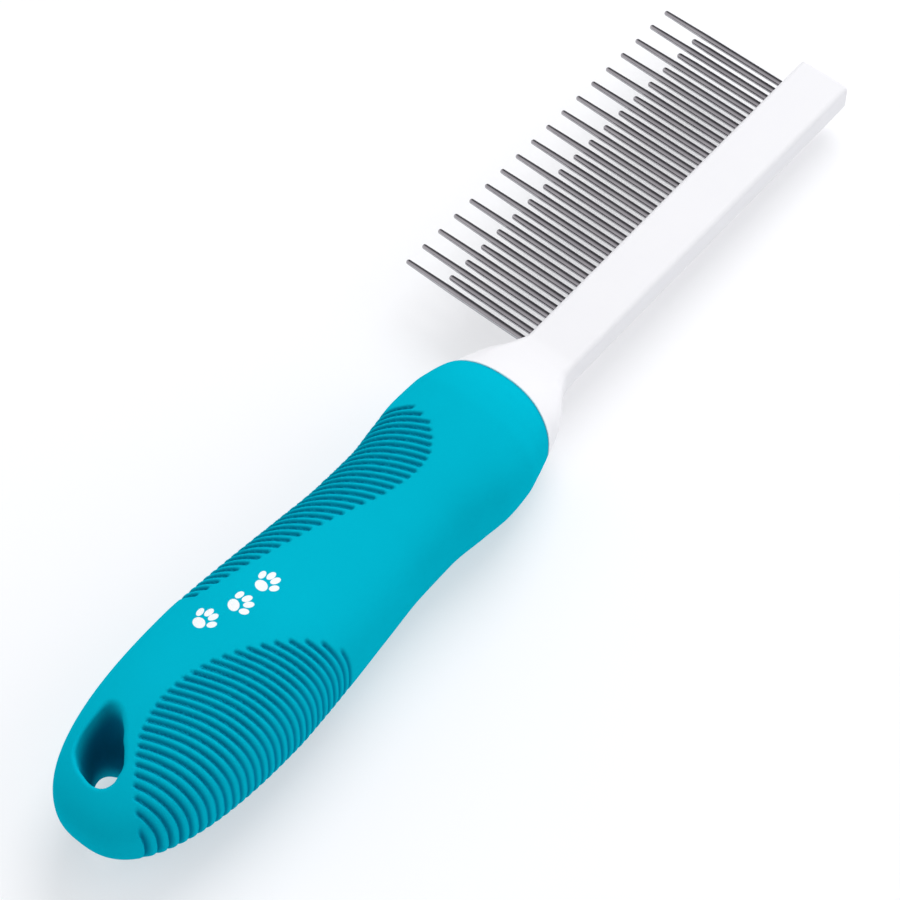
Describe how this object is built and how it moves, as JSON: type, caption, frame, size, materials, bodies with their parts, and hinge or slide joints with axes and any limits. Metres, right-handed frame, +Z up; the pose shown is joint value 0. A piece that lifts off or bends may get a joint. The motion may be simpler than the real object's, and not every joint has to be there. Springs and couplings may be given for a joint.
{
  "type": "pet grooming comb",
  "caption": "Pet grooming comb: alternating long and short round steel pins set in a white moulded spine, with a soft teal over-moulded grip, finger grooves and an oval hang hole.",
  "frame": {"origin": "centre of the hang hole near the butt of the handle, midway through the thickness", "axes": "+X from the handle to the tip of the comb along the row of pins, +Y the way the pins point, +Z up off the flat face"},
  "size_m": [0.2058, 0.0494, 0.0264],
  "materials": {
    "core": "satin white ABS",
    "grip": "satin teal thermoplastic rubber",
    "pins": "polished stainless steel"
  },
  "bodies": {
    "root": {"core": "core", "grip": "grip", "pin_long_01": "pins", "pin_long_02": "pins", "pin_long_03": "pins", "pin_long_04": "pins", "pin_long_05": "pins", "pin_long_06": "pins", "pin_long_07": "pins", "pin_long_08": "pins", "pin_long_09": "pins", "pin_long_10": "pins", "pin_long_11": "pins", "pin_long_12": "pins", "pin_long_13": "pins", "pin_long_14": "pins", "pin_long_15": "pins", "pin_long_16": "pins", "pin_long_17": "pins", "pin_long_18": "pins", "pin_short_01": "pins", "pin_short_02": "pins", "pin_short_03": "pins", "pin_short_04": "pins", "pin_short_05": "pins", "pin_short_06": "pins", "pin_short_07": "pins", "pin_short_08": "pins", "pin_short_09": "pins", "pin_short_10": "pins", "pin_short_11": "pins", "pin_short_12": "pins", "pin_short_13": "pins", "pin_short_14": "pins", "pin_short_15": "pins", "pin_short_16": "pins", "pin_short_17": "pins"}
  },
  "joints": []
}
